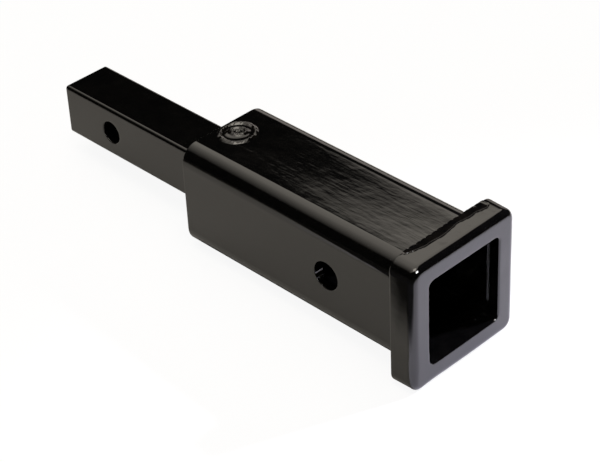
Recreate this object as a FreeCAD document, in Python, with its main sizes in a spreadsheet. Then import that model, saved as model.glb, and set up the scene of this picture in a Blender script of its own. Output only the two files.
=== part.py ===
import FreeCAD, Part
import math
import os

import Sketcher
from FreeCAD import Placement, Rotation, Vector

# Hitch receiver adapter: a solid square shank bar welded into the back of a larger square
# receiver tube, with a heavy collar round the tube's mouth. Nothing on it moves.
# The frame is in millimetres. X runs to the mouth, Z is up, and the origin is where the
# centreline of the tube meets the axis of the tube's pin hole. Seen from in front of the
# mouth, left is at minus Y and right is at plus Y.

# Name, size in millimetres or a count, and what it measures
SIZES = (
    ("shank_width", 31.75, "side of the square shank bar"),
    ("shank_reach", 121.0, "length of bar that stands out behind the tube"),
    ("shank_edge_radius", 2.1, "rolled radius along the bar's four edges"),
    ("shank_end_chamfer", 0.8, "chamfer round the bar's free end"),
    ("shank_hole_width", 13.8, "bore of the pin hole through the bar"),
    ("shank_hole_inset", 39.7, "from the bar's free end to the pin hole's axis"),
    ("shank_hole_chamfer", 0.6, "chamfer at each end of the bar's pin hole"),
    ("tube_width", 63.5, "outside of the receiver tube"),
    ("tube_wall", 6.0, "wall of the receiver tube"),
    ("tube_corner", 10.5, "outside radius of the tube's corners"),
    ("tube_behind_hole", 108.7, "from the tube's pin hole to its back end"),
    ("tube_hole_width", 16.9, "bore of the pin hole through the tube's sides"),
    ("mouth_ahead_of_hole", 67.8, "from the tube's pin hole to the collar's front face"),
    ("collar_wall", 7.25, "thickness of the collar outside the tube"),
    ("collar_depth", 15.9, "collar from front to back"),
    ("collar_corner", 7.0, "radius of the collar's four corners, seen from the front"),
    ("collar_lip", 7.6, "thickness of the lip that covers the tube's front end"),
    ("collar_opening_step", 1.0, "from the tube's bore out to the opening through the lip"),
    ("collar_opening_corner", 3.6, "corner radius of that opening"),
    ("collar_front_round", 4.0, "fillet round the front outer edge"),
    ("collar_back_chamfer", 0.6, "chamfer round the back outer edge"),
    ("collar_opening_chamfer", 1.0, "chamfer round the front edge of the opening"),
    ("collar_seat_gap", 0.1, "clearance between the tube and the collar's seat, each side"),
    ("spacer_length", 41.5, "flat bars beside the shank, from the tube's back end inwards"),
    ("spacer_edge_gap", 0.2, "clearance between neighbouring spacer bars"),
    ("plug_inset", 11.6, "from the tube's back end to the middle of the plug weld"),
    ("plug_hole_width", 16.0, "hole in the tube's wall that the plug weld fills"),
    ("plug_ring_width", 22.8, "outside of the raised ring of the plug weld"),
    ("plug_ring_breadth", 4.7, "breadth of the ring's bead, across the edge of the hole"),
    ("plug_ring_height", 1.8, "ring's crest above the tube's wall"),
    ("plug_ring_shoulder", 1.2, "breadth of the slope on each side of the ring's crest"),
    ("plug_dish", 0.7, "depth of the dish inside the ring, below the tube's wall"),
    ("plug_bead_width", 2.6, "breadth of the spiral bead in the dish"),
    ("plug_bead_height", 2.0, "crest of that bead above the dish"),
    ("plug_bead_sunk", 0.5, "depth of the bead's foot below the dish"),
    ("plug_spiral_start", 1.9, "radius at which the spiral bead begins"),
    ("plug_spiral_pitch", 3.9, "growth of the spiral in one turn"),
    ("plug_spiral_half_turns", 3, "half turns of the spiral bead"),
    ("collar_weld_wrap", 4.75, "reach of each weld behind the collar round the tube's corners"),
    ("collar_weld_leg", 5.5, "reach of that weld along the tube"),
    ("collar_weld_bevel", 4.5, "bevel on the collar's back edge that the weld fills"),
    ("collar_weld_ripples", 13, "ripples in each weld behind the collar"),
    ("shank_weld_leg", 9.0, "reach of the back welds along the shank"),
    ("shank_weld_lap", 2.0, "reach of the back welds past the spacer, onto the tube's end"),
    ("shank_weld_ripples", 8, "ripples in each back weld"),
    ("weld_crown", 1.8, "height of a weld's arched face above the line between its toes"),
    ("valley_breadth", 1.5, "breadth of the groove between two ripples of a weld"),
    ("valley_share", 0.93, "section of a weld in a groove, as a share of its section at a ripple"),
)

# The tube's sides in the order that quarter turns about X reach them, from the top
SIDES = ("top", "left", "bottom", "right")

# The two sides with a full-width spacer, a plug weld and a weld behind the collar
WELDED_SIDES = ("top", "bottom")
QUARTER_TURN = 90
HALF_TURN = 180
FULL_TURN = 360

# Two places closer than this, in millimetres, count as one
NEAR = 0.01


class Size:
    """A length kept both as a number and as the formula of sheet cells that gives it."""

    def __init__(self, value, formula):
        self.value = value
        self.formula = formula

    def __add__(self, other):
        other = as_size(other)
        return Size(self.value + other.value, f"({self.formula} + {other.formula})")

    def __sub__(self, other):
        other = as_size(other)
        return Size(self.value - other.value, f"({self.formula} - {other.formula})")

    def __mul__(self, other):
        other = as_size(other)
        return Size(self.value * other.value, f"({self.formula} * {other.formula})")

    def __truediv__(self, other):
        other = as_size(other)
        return Size(self.value / other.value, f"({self.formula} / {other.formula})")

    def __neg__(self):
        return Size(-self.value, f"(-1 * {self.formula})")


def as_size(number):
    """A plain number as a Size, and a Size as it is."""
    if isinstance(number, Size):
        return number
    return Size(float(number), f"{float(number)}")


def make_sheet(doc):
    """Writes the driving sizes into a sheet and returns them by name."""
    sheet = doc.addObject("Spreadsheet::Sheet", "Sizes")
    sizes = {}
    for row, (name, value, meaning) in enumerate(SIZES, start=1):
        sheet.set(f"A{row}", name)
        sheet.set(f"B{row}", str(value))
        sheet.set(f"C{row}", meaning)
        sheet.setAlias(f"B{row}", name)
        sizes[name] = Size(value, f"Sizes.{name}")
    doc.recompute()
    return sizes


# Features of a body


def new_body(doc, label):
    """An empty body named for its sub-part."""
    body = doc.addObject("PartDesign::Body", label)
    body.Label = label
    return body


def origin_part(body, role):
    """The plane or axis of the body's own origin that has this role."""
    return next(part for part in body.Origin.OriginFeatures if part.Role == role)


def new_sketch(body, name, plane, shift=0, along=0, lift=0):
    """A sketch on one of the body's origin planes.

    shift moves it along the plane's normal, and along and lift in the plane's own X and Y.
    """
    sketch = body.newObject("Sketcher::SketchObject", name)
    sketch.AttachmentSupport = (origin_part(body, plane), [""])
    sketch.MapMode = "FlatFace"
    offset = [as_size(size) for size in (along, lift, shift)]
    sketch.AttachmentOffset = Placement(Vector(*[size.value for size in offset]), Rotation())
    for axis, size in zip("xyz", offset):
        sketch.setExpression(f".AttachmentOffset.Base.{axis}", size.formula)
    return sketch


def dimension(sketch, kind, where, size):
    """Adds a dimension and ties it to the sheet."""
    number = sketch.addConstraint(Sketcher.Constraint(kind, *where, size.value))
    sketch.setExpression(f"Constraints[{number}]", size.formula)


def place_point(sketch, item, end, across, up):
    """Fixes one end of a line or arc, with a zero written as a point on the sketch's axis."""
    if across is None:
        sketch.addConstraint(Sketcher.Constraint("PointOnObject", item, end, -2))
    else:
        dimension(sketch, "DistanceX", (-1, 1, item, end), across)
    if up is None:
        sketch.addConstraint(Sketcher.Constraint("PointOnObject", item, end, -1))
    else:
        dimension(sketch, "DistanceY", (-1, 1, item, end), up)


def rounded_square(sketch, width, corner):
    """A square centred on the sketch's origin, with four equal corner arcs."""
    half = width.value / 2
    inner = half - corner.value
    first = sketch.GeometryCount
    for turn in range(4):
        spin = Rotation(Vector(0, 0, 1), 90 * turn)
        start = spin.multVec(Vector(-inner, -half, 0))
        end = spin.multVec(Vector(inner, -half, 0))
        centre = spin.multVec(Vector(inner, -inner, 0))
        sketch.addGeometry(Part.LineSegment(start, end))
        circle = Part.Circle(centre, Vector(0, 0, 1), corner.value)
        quarter = math.pi / 2
        sketch.addGeometry(Part.ArcOfCircle(circle, (turn - 1) * quarter, turn * quarter))
    for turn in range(4):
        line = first + 2 * turn
        arc = line + 1
        following = first + (2 * turn + 2) % 8
        sketch.addConstraint(Sketcher.Constraint("Tangent", line, 2, arc, 1))
        sketch.addConstraint(Sketcher.Constraint("Tangent", arc, 2, following, 1))
        level = "Vertical" if turn % 2 else "Horizontal"
        sketch.addConstraint(Sketcher.Constraint(level, line))
        if turn:
            sketch.addConstraint(Sketcher.Constraint("Equal", first + 1, arc))
    sketch.addConstraint(Sketcher.Constraint("Symmetric", first + 1, 3, first + 5, 3, -1, 1))
    dimension(sketch, "DistanceX", (first + 6, 1, first + 2, 1), width)
    dimension(sketch, "DistanceY", (first, 1, first + 4, 1), width)
    dimension(sketch, "Radius", (first + 1,), corner)


def circle_at(sketch, across, up, diameter):
    """A circle whose centre is fixed from the sketch's origin."""
    centre = Vector(across.value if across else 0, up.value if up else 0, 0)
    item = sketch.addGeometry(Part.Circle(centre, Vector(0, 0, 1), diameter.value / 2))
    place_point(sketch, item, 3, across, up)
    dimension(sketch, "Diameter", (item,), diameter)


def arch(start, end, height):
    """Four chords of a parabola of this height over the line from start to end."""
    points = [start]
    for share in (1 / 4, 1 / 2, 3 / 4):
        rise = height * (4 * share * (1 - share))
        points.append((
            start[0] + (end[0] - start[0]) * share,
            start[1] + (end[1] - start[1]) * share + rise,
        ))
    points.append(end)
    return points


def closed_outline(sketch, points):
    """A closed outline of straight lines through the points, counterclockwise."""
    spots = [Vector(x.value if x else 0, y.value if y else 0, 0) for x, y in points]
    count = len(spots)
    for edge in range(count):
        sketch.addGeometry(Part.LineSegment(spots[edge], spots[(edge + 1) % count]))
    for edge, (across, up) in enumerate(points):
        before = (edge - 1) % count
        sketch.addConstraint(Sketcher.Constraint("Coincident", before, 2, edge, 1))
        place_point(sketch, edge, 1, across, up)


def pad(body, sketch, length, both_ways=False):
    """Pads a sketch along its normal."""
    feature = body.newObject("PartDesign::Pad", f"{sketch.Name}_pad")
    feature.Profile = sketch
    feature.Midplane = both_ways
    feature.Length = length.value
    feature.setExpression("Length", length.formula)
    return feature


def pocket_through(body, sketch):
    """Cuts a sketch through the whole body, both ways from its plane."""
    feature = body.newObject("PartDesign::Pocket", f"{sketch.Name}_cut")
    feature.Profile = sketch
    feature.Type = "ThroughAll"
    feature.Midplane = True
    return feature


def pocket(body, sketch, length, both_ways=False, backwards=False):
    """Cuts a sketch to a depth."""
    feature = body.newObject("PartDesign::Pocket", f"{sketch.Name}_cut")
    feature.Profile = sketch
    feature.Midplane = both_ways
    feature.Reversed = backwards
    feature.Length = length.value
    feature.setExpression("Length", length.formula)
    return feature


def edges_where(feature, test):
    """The names of a feature's edges whose bounding boxes pass the test."""
    edges = enumerate(feature.Shape.Edges, start=1)
    return [f"Edge{number}" for number, edge in edges if test(edge.BoundBox)]


def dress_edges(body, kind, name, feature, size_name, size, test):
    """Rounds or chamfers the edges of a feature that pass the test."""
    body.Document.recompute()
    dressing = body.newObject(f"PartDesign::{kind}", name)
    dressing.Base = (feature, edges_where(feature, test))
    setattr(dressing, size_name, size.value)
    dressing.setExpression(size_name, size.formula)
    return dressing


def lies_across(box, place):
    """True for an edge that lies in the plane at this X."""
    return abs(box.XMin - place) < NEAR and abs(box.XMax - place) < NEAR


# Sub-parts


class Adapter:
    """The sizes and places that the sub-parts share, each worked out once."""

    def __init__(self, doc, sizes):
        self.doc = doc
        self.sizes = sizes
        self.bore = sizes["tube_width"] - sizes["tube_wall"] * 2
        self.bore_corner = sizes["tube_corner"] - sizes["tube_wall"]
        self.mouth = sizes["mouth_ahead_of_hole"]
        self.tube_front = self.mouth - sizes["collar_lip"]
        self.tube_back = -sizes["tube_behind_hole"]
        self.collar_back = self.mouth - sizes["collar_depth"]
        self.shank_end = self.tube_back - sizes["shank_reach"]
        self.socket_floor = self.tube_back + sizes["spacer_length"]
        self.shank_face = sizes["shank_width"] / 2
        self.tube_face = sizes["tube_width"] / 2
        self.collar_width = sizes["tube_width"] + sizes["collar_wall"] * 2
        self.collar_face = self.collar_width / 2
        self.spacer_thickness = (self.bore - sizes["shank_width"]) / 2
        self.plug_place = self.tube_back + sizes["plug_inset"]
        self.tube_flat = sizes["tube_width"] - sizes["tube_corner"] * 2
        self.collar_weld_run = self.tube_flat + sizes["collar_weld_wrap"] * 2

    def shank_bar(self):
        """The solid bar that slides into the vehicle's receiver, with its pin hole."""
        sizes = self.sizes
        body = new_body(self.doc, "shank_bar")
        section = new_sketch(body, "bar_section", "YZ_Plane", shift=self.shank_end)
        rounded_square(section, sizes["shank_width"], sizes["shank_edge_radius"])
        bar = pad(body, section, self.socket_floor - self.shank_end)
        end = self.shank_end.value
        bar = dress_edges(
            body, "Chamfer", "bar_end", bar, "Size", sizes["shank_end_chamfer"],
            lambda box: lies_across(box, end),
        )
        hole = new_sketch(body, "bar_hole", "XZ_Plane")
        circle_at(hole, self.shank_end + sizes["shank_hole_inset"], None, sizes["shank_hole_width"])
        bored = pocket_through(body, hole)
        width = sizes["shank_hole_width"].value
        middle = (self.shank_end + sizes["shank_hole_inset"]).value
        dress_edges(
            body, "Chamfer", "bar_hole_edge", bored, "Size", sizes["shank_hole_chamfer"],
            lambda box: abs(box.XLength - width) < NEAR and abs(box.Center.x - middle) < NEAR,
        )

    def receiver_tube(self):
        """The square tube, with the pin hole through its sides and the plug weld holes."""
        sizes = self.sizes
        body = new_body(self.doc, "receiver_tube")
        section = new_sketch(body, "tube_section", "YZ_Plane", shift=self.tube_back)
        rounded_square(section, sizes["tube_width"], sizes["tube_corner"])
        rounded_square(section, self.bore, self.bore_corner)
        pad(body, section, self.tube_front - self.tube_back)
        pin_hole = new_sketch(body, "tube_pin_hole", "XZ_Plane")
        circle_at(pin_hole, None, None, sizes["tube_hole_width"])
        pocket_through(body, pin_hole)
        plug_hole = new_sketch(body, "tube_plug_hole", "XY_Plane")
        circle_at(plug_hole, self.plug_place, None, sizes["plug_hole_width"])
        pocket_through(body, plug_hole)

    def mouth_collar(self):
        """The heavy ring over the tube's front end: a lip in front, a seat behind it."""
        sizes = self.sizes
        body = new_body(self.doc, "mouth_collar")
        section = new_sketch(body, "collar_section", "YZ_Plane", shift=self.collar_back)
        rounded_square(section, self.collar_width, sizes["collar_corner"])
        ring = pad(body, section, sizes["collar_depth"])
        front = self.mouth.value
        back = self.collar_back.value
        ring = dress_edges(
            body, "Fillet", "collar_front", ring, "Radius", sizes["collar_front_round"],
            lambda box: lies_across(box, front),
        )
        dress_edges(
            body, "Chamfer", "collar_back", ring, "Size", sizes["collar_back_chamfer"],
            lambda box: lies_across(box, back),
        )
        opening = new_sketch(body, "collar_mouth", "YZ_Plane")
        width = self.bore + sizes["collar_opening_step"] * 2
        rounded_square(opening, width, sizes["collar_opening_corner"])
        opened = pocket_through(body, opening)
        outside = self.collar_face.value - sizes["collar_front_round"].value - NEAR
        dress_edges(
            body, "Chamfer", "collar_mouth_edge", opened, "Size", sizes["collar_opening_chamfer"],
            lambda box: lies_across(box, front) and self.is_inside(box, outside),
        )
        seat = new_sketch(body, "collar_seat", "YZ_Plane", shift=self.collar_back)
        gap = sizes["collar_seat_gap"]
        rounded_square(seat, sizes["tube_width"] + gap * 2, sizes["tube_corner"] + gap)
        pocket(body, seat, sizes["collar_depth"] - sizes["collar_lip"], backwards=True)
        bevel = self.collar_bevel(body)
        around = body.newObject("PartDesign::PolarPattern", "collar_bevels")
        around.Originals = [bevel]
        around.Axis = (origin_part(body, "X_Axis"), [""])
        around.Angle = FULL_TURN
        around.Occurrences = len(WELDED_SIDES)
        body.Tip = around

    @staticmethod
    def is_inside(box, limit):
        """True for an edge that stays within this distance of the centreline."""
        return max(-box.YMin, box.YMax, -box.ZMin, box.ZMax) < limit

    def collar_bevel(self, body):
        """The bevel on the collar's top back edge that a weld fills."""
        sizes = self.sizes
        cut = sizes["collar_weld_bevel"]
        sketch = new_sketch(body, "collar_bevel", "XZ_Plane")
        corners = [
            (self.collar_back, self.collar_face - cut),
            (self.collar_back + cut, self.collar_face),
            (self.collar_back, self.collar_face),
        ]
        closed_outline(sketch, corners)
        return pocket(body, sketch, self.collar_weld_run, both_ways=True)

    def spacer(self, label, turn, width, corner=None):
        """A flat bar between the shank and the tube's bore, turned to its side."""
        body = new_body(self.doc, label)
        section = new_sketch(body, f"{label}_section", "YZ_Plane", shift=self.tube_back)
        low = self.shank_face
        high = self.bore / 2
        half = width / 2
        outline = [(-half, low), (half, low), (half, high), (-half, high)]
        closed_outline(section, outline)
        bar = pad(body, section, self.sizes["spacer_length"])
        if corner:
            top = high.value
            dress_edges(
                body, "Fillet", f"{label}_edges", bar, "Radius", corner,
                lambda box: box.XLength > NEAR and abs(box.ZMin - top) < NEAR
                and box.YLength < NEAR,
            )
        self.turn_about_tube(body, turn)

    @staticmethod
    def turn_about_tube(body, turn):
        """Swings a body that is drawn on top to its own side of the tube."""
        body.Placement = Placement(Vector(), Rotation(Vector(1, 0, 0), QUARTER_TURN * turn))

    def weld(self, label, turn, hidden, toes, meeting, run, ripples, outline=None):
        """A weld with a row of ripples, drawn on top and turned to its side.

        hidden is the part of the section that lies against the other pieces, and toes are
        the two ends of its arched face. Between ripples the face shrinks towards meeting,
        the point where the surfaces that carry the toes meet, so that both toes stay on
        them. outline is the width and corner of the square tube that the weld sits on.
        """
        sizes = self.sizes
        body = new_body(self.doc, label)
        face = arch(*toes, sizes["weld_crown"])
        groove = []
        for point in face:
            groove.append(tuple(
                middle + (place - middle) * sizes["valley_share"]
                for place, middle in zip(point, meeting)
            ))
        core = new_sketch(body, f"{label}_core", "XZ_Plane")
        closed_outline(core, groove + hidden(groove[-1]))
        pad(body, core, run, both_ways=True)
        pitch = run / ripples
        valley = sizes["valley_breadth"]
        crest = new_sketch(
            body, f"{label}_crest", "XZ_Plane", shift=run / 2 - pitch + valley / 2,
        )
        closed_outline(crest, face + hidden(face[-1]))
        ripple = pad(body, crest, pitch - valley)
        row = body.newObject("PartDesign::LinearPattern", f"{label}_row")
        row.Originals = [ripple]
        row.Direction = (origin_part(body, "Y_Axis"), [""])
        row.Length = (run - pitch).value
        row.setExpression("Length", (run - pitch).formula)
        row.Occurrences = int(ripples.value)
        row.setExpression("Occurrences", ripples.formula)
        body.Tip = row
        if outline:
            seat = new_sketch(body, f"{label}_seat", "YZ_Plane")
            rounded_square(seat, *outline)
            pocket_through(body, seat)
        self.turn_about_tube(body, turn)

    def collar_weld(self, side, turn):
        """The weld that fills the corner behind the collar and the collar's bevel."""
        sizes = self.sizes
        bevel = sizes["collar_weld_bevel"]
        sunk = self.tube_face - sizes["tube_corner"]
        foot = self.collar_face - bevel
        toes = [
            (self.collar_back + bevel, self.collar_face),
            (self.collar_back - sizes["collar_weld_leg"], self.tube_face),
        ]
        meeting = (self.collar_back - (foot - self.tube_face), self.tube_face)
        self.weld(
            f"collar_weld_{side}", turn,
            lambda toe: [(toe[0], sunk), (self.collar_back, sunk), (self.collar_back, foot)],
            toes, meeting, self.collar_weld_run, sizes["collar_weld_ripples"],
            (sizes["tube_width"], sizes["tube_corner"]),
        )

    def shank_weld(self, side, turn):
        """The weld that ties the shank to the spacer's end and the tube's end."""
        sizes = self.sizes
        root = (self.tube_back, self.shank_face)
        rise = self.spacer_thickness + sizes["shank_weld_lap"]
        toes = [
            (self.tube_back, self.shank_face + rise),
            (self.tube_back - sizes["shank_weld_leg"], self.shank_face),
        ]
        flat = sizes["shank_width"] - sizes["shank_edge_radius"] * 2
        self.weld(
            f"shank_weld_{side}", turn, lambda toe: [root],
            toes, root, flat, sizes["shank_weld_ripples"],
        )

    def plug_weld(self, side, turn):
        """The weld that fills a hole in the tube's wall: a dished plug, a ring and a spiral."""
        label = f"plug_weld_{side}"
        body = new_body(self.doc, label)
        sizes = self.sizes
        profile = new_sketch(body, f"{label}_profile", "XZ_Plane", along=self.plug_place)
        hole = sizes["plug_hole_width"] / 2
        ring = sizes["plug_ring_width"] / 2
        dish = self.tube_face - sizes["plug_dish"]
        inside = ring - sizes["plug_ring_breadth"]
        shoulder = sizes["plug_ring_shoulder"]
        crest = self.tube_face + sizes["plug_ring_height"]
        closed_outline(profile, [
            (None, self.bore / 2),
            (hole, self.bore / 2),
            (hole, self.tube_face),
            (ring, self.tube_face),
            (ring - shoulder, crest),
            (inside + shoulder, crest),
            (inside, dish),
            (None, dish),
        ])
        plug = body.newObject("PartDesign::Revolution", f"{label}_plug")
        plug.Profile = profile
        plug.ReferenceAxis = (profile, ["V_Axis"])
        plug.Angle = FULL_TURN
        self.spiral_bead(body, label, dish)
        self.turn_about_tube(body, turn)

    def spiral_bead(self, body, label, dish):
        """A bead on a spiral of half circles, sunk a little into the dish."""
        sizes = self.sizes
        half = sizes["plug_bead_width"] / 2
        foot = dish - sizes["plug_bead_sunk"]
        crest = dish + sizes["plug_bead_height"]
        step = sizes["plug_spiral_pitch"] / 2
        for turn in range(int(sizes["plug_spiral_half_turns"].value)):
            radius = sizes["plug_spiral_start"] + step * turn
            if turn % 2:
                centre = self.plug_place + step
                across = -radius
            else:
                centre = self.plug_place
                across = radius
            section = new_sketch(body, f"{label}_bead_{turn}", "XZ_Plane", along=centre)
            closed_outline(section, [
                (across - half, foot),
                (across + half, foot),
                (across + half, crest),
                (across - half, crest),
            ])
            bead = body.newObject("PartDesign::Revolution", f"{label}_half_turn_{turn}")
            bead.Profile = section
            bead.ReferenceAxis = (section, ["V_Axis"])
            bead.Angle = HALF_TURN

    def build(self):
        """Builds every sub-part."""
        sizes = self.sizes
        self.shank_bar()
        self.receiver_tube()
        self.mouth_collar()
        gaps = sizes["spacer_edge_gap"] * 2
        for turn, side in enumerate(SIDES):
            if side in WELDED_SIDES:
                self.spacer(f"spacer_{side}", turn, self.bore - gaps, self.bore_corner)
                self.plug_weld(side, turn)
                self.collar_weld(side, turn)
            else:
                self.spacer(f"spacer_{side}", turn, sizes["shank_width"] - gaps)
            self.shank_weld(side, turn)


def check(doc):
    """Stops the build if any object failed, and returns the finished bodies."""
    doc.recompute()
    for item in doc.Objects:
        if "Invalid" in item.State or "Error" in item.State:
            raise RuntimeError(f"{item.Label} failed: {item.State}")
    bodies = [item for item in doc.Objects if item.TypeId == "PartDesign::Body"]
    for body in bodies:
        if body.Shape.isNull() or not body.Shape.isValid():
            raise RuntimeError(f"{body.Label} has no valid shape")
        if len(body.Shape.Solids) != 1:
            raise RuntimeError(f"{body.Label} has {len(body.Shape.Solids)} solids")
    return bodies


def main():
    """Builds the adapter and writes one file for each sub-part."""
    doc = FreeCAD.newDocument("hitch_receiver_adapter")
    sizes = make_sheet(doc)
    Adapter(doc, sizes).build()
    os.makedirs("parts", exist_ok=True)
    for body in check(doc):
        body.Shape.exportStep(f"parts/{body.Label}.step")
        print(f"{body.Label}: {body.Shape.Volume:.0f} mm3, {len(body.Shape.Faces)} faces")


main()
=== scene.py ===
"""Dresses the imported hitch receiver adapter: a square shank welded into a larger square
receiver tube, with a formed collar round the tube's mouth, all under black gloss paint."""
import logging
import math
from collections.abc import Callable, Iterable, Sequence
from dataclasses import dataclass, replace
from enum import Enum

import bmesh
import bpy
from mathutils import Matrix, Vector, noise


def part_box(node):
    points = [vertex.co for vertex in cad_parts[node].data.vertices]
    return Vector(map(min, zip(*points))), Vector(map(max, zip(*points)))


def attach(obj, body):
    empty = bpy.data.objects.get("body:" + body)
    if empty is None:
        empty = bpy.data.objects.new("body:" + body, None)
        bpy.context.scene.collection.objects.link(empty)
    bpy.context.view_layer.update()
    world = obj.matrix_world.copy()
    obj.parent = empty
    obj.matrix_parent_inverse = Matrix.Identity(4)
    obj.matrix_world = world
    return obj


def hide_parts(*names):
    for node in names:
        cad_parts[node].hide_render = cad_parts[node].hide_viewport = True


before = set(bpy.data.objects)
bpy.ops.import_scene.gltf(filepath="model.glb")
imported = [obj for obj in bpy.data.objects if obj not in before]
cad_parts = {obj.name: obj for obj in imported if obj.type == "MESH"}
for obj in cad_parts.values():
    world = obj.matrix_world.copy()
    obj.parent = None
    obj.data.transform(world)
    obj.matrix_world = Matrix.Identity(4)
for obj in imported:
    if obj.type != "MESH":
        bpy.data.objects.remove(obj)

MM = 0.001
QUARTER_TURN = math.pi / 2
FULL_TURN = math.pi * 2

# The smallest inset, merging distance and corner radius
SLIVER = 0.01 * MM
MERGE_GAP = 0.001 * MM
LEAST_CORNER = 0.2 * MM

# How finely the rounded corners, the rounded ends and the pin holes are drawn
ARC_STEPS = 10
END_STEPS = 4
HOLE_CUTS = 11
RIM_STEPS = 3
PATCH_SHARE = 0.62

# Without its seed the collar's wobble would start from the clock
WOBBLE_SEED = 7

SHARP_ANGLE = math.radians(40)
GRAIN_PITCH = 0.9 * MM
WARM_WHITE = (1.0, 0.93, 0.82)
BODY = "root"

LOG = logging.getLogger("adapter")

Pair = tuple[float, float]
Triple = tuple[float, float, float]
Section = Triple
Edges = list[bmesh.types.BMEdge]
Form = bmesh.types.BMesh
Material = bpy.types.Material
Node = bpy.types.Node
Socket = bpy.types.NodeSocket


class Side(Enum):
    """The four sides of the square tube, each as quarter turns from the top."""

    TOP = 0
    LEFT = 1
    BOTTOM = 2
    RIGHT = 3

    @property
    def turn(self) -> Matrix:
        """The turn about the tube's long axis that carries the top to this side."""
        return Matrix.Rotation(self.value * QUARTER_TURN, 4, "X")

    @property
    def word(self) -> str:
        """The side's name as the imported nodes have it."""
        return self.name.lower()


class Wave(Enum):
    """The kinds of unevenness that the paint shows, by how far they run each way."""

    PEEL = (150.0, 430.0, 430.0)
    DRAWN = (20.0, 560.0, 560.0)
    SAG = (55.0, 90.0, 70.0)
    MIST = (160.0, 160.0, 160.0)


# Mesh forms


def square_loop(bm: Form, section: Section, cuts: int = 0) -> Edges:
    """Draws a square with rounded corners across the long axis.

    Args:
        bm: the mesh that takes the loop.
        section: the loop's place along the axis, its width and its corner radius.
        cuts: how many points each straight side gets between its corners.

    Returns:
        The loop's edges.
    """
    place, width, corner = section
    known = set(bm.edges)
    stand = (
        Matrix.Translation((place, 0, 0))
        @ Matrix.Rotation(QUARTER_TURN, 4, "Y")
        @ Matrix.Rotation(QUARTER_TURN / 2, 4, "Z")
    )
    made = bmesh.ops.create_circle(
        bm, segments=4, radius=width / math.sqrt(2), matrix=stand
    )
    bmesh.ops.bevel(
        bm, geom=made["verts"], offset=corner, offset_type="OFFSET",
        segments=ARC_STEPS, profile=0.5, affect="VERTICES", material=-1,
    )
    loop = [edge for edge in bm.edges if edge not in known]
    if cuts:
        straight = sorted(loop, key=lambda edge: edge.calc_length())[-4:]
        bmesh.ops.subdivide_edges(bm, edges=straight, cuts=cuts)
        loop = [edge for edge in bm.edges if edge not in known]
    return loop


def skin(bm: Form, sections: Sequence[Section], cuts: int = 0, ring: bool = False) -> None:
    """Joins rounded squares into one skin.

    The squares are joined while they stand evenly spaced, because squares in one plane
    join with a twist, and then each goes to its place.

    Args:
        bm: the mesh that takes the skin.
        sections: place, width and corner of each square, in order.
        cuts: points along each straight side.
        ring: whether the last square joins the first, as on a tube with an open bore.
    """
    spaced = [
        (number * MM, width, corner) for number, (_, width, corner) in enumerate(sections)
    ]
    loops = [square_loop(bm, section, cuts) for section in spaced]
    following = loops[1:] + (loops[:1] if ring else [])
    for near, far in zip(loops, following):
        bmesh.ops.bridge_loops(bm, edges=near + far)
    if not ring:
        for end in (loops[0], loops[-1]):
            bmesh.ops.contextual_create(bm, geom=end)
    for loop, (place, _, _) in zip(loops, sections):
        for vert in {vert for edge in loop for vert in edge.verts}:
            vert.co.x = place


def rounding(start: Section, depth: float, steps: int, forward: bool) -> list[Section]:
    """The squares that round an outer edge.

    Args:
        start: the square where the flat side ends, or the face's square if not forward.
        depth: the rounding's radius.
        steps: how many steps the arc has.
        forward: True for an edge whose end face is ahead, False for one behind.

    Returns:
        The squares in order along the axis, the full-width one among them.
    """
    place, width, corner = start
    squares = []
    for step in range(steps + 1):
        angle = QUARTER_TURN * step / steps
        inward = depth * (1 - math.cos(angle))
        along = depth * math.sin(angle)
        squares.append((
            place + (along if forward else -along),
            width - 2 * inward,
            max(corner - inward, LEAST_CORNER),
        ))
    return squares if forward else squares[::-1]


def bore_across(
    bm: Form, place: float, diameter: float, walls: Sequence[float], rim: float
) -> None:
    """Bores a round hole across the object, along Y, through pairs of flat faces.

    Args:
        bm: the mesh that is bored.
        place: the hole's place along the long axis.
        diameter: the hole's diameter.
        walls: the Y of each face that is pierced, in order, two to a wall.
        rim: how far the hole's edges are rounded.
    """
    reach = diameter * PATCH_SHARE
    for normal, offset in (((1, 0, 0), place), ((0, 0, 1), 0)):
        for shift in (-reach, reach):
            bmesh.ops.bisect_plane(
                bm, geom=bm.verts[:] + bm.edges[:] + bm.faces[:],
                plane_co=Vector(normal) * (offset + shift), plane_no=normal,
            )
    circles = []
    for wall in walls:
        centre = Vector((place, wall, 0))
        patch = min(
            bm.faces, key=lambda face: (face.calc_center_median() - centre).length
        )
        bmesh.ops.subdivide_edges(bm, edges=patch.edges[:], cuts=HOLE_CUTS)
        bmesh.ops.inset_individual(bm, faces=[patch], thickness=SLIVER)
        for vert in patch.verts:
            across = vert.co.x - place
            up = vert.co.z
            if abs(across) >= abs(up):
                angle = (0 if across > 0 else math.pi) + up / across * QUARTER_TURN / 2
            else:
                angle = math.copysign(QUARTER_TURN, up) - across / up * QUARTER_TURN / 2
            vert.co.x = place + math.cos(angle) * diameter / 2
            vert.co.z = math.sin(angle) * diameter / 2
        circles.append(patch.edges[:])
        bmesh.ops.delete(bm, geom=[patch], context="FACES_ONLY")
    for outer, inner in zip(circles[::2], circles[1::2]):
        bmesh.ops.bridge_loops(bm, edges=outer + inner)
    bmesh.ops.bevel(
        bm, geom=[edge for circle in circles for edge in circle], offset=rim,
        segments=RIM_STEPS, profile=0.5, affect="EDGES", material=-1,
    )


def thickened(bm: Form, thickness: float) -> None:
    """Turns an open skin's faces upwards and closes it into a shell.

    Args:
        bm: the mesh.
        thickness: the shell's thickness.
    """
    bmesh.ops.recalc_face_normals(bm, faces=bm.faces)
    if sum((face.normal.z * face.calc_area() for face in bm.faces), 0.0) < 0:
        bmesh.ops.reverse_faces(bm, faces=bm.faces)
    bmesh.ops.solidify(bm, geom=bm.faces[:], thickness=thickness)


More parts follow.
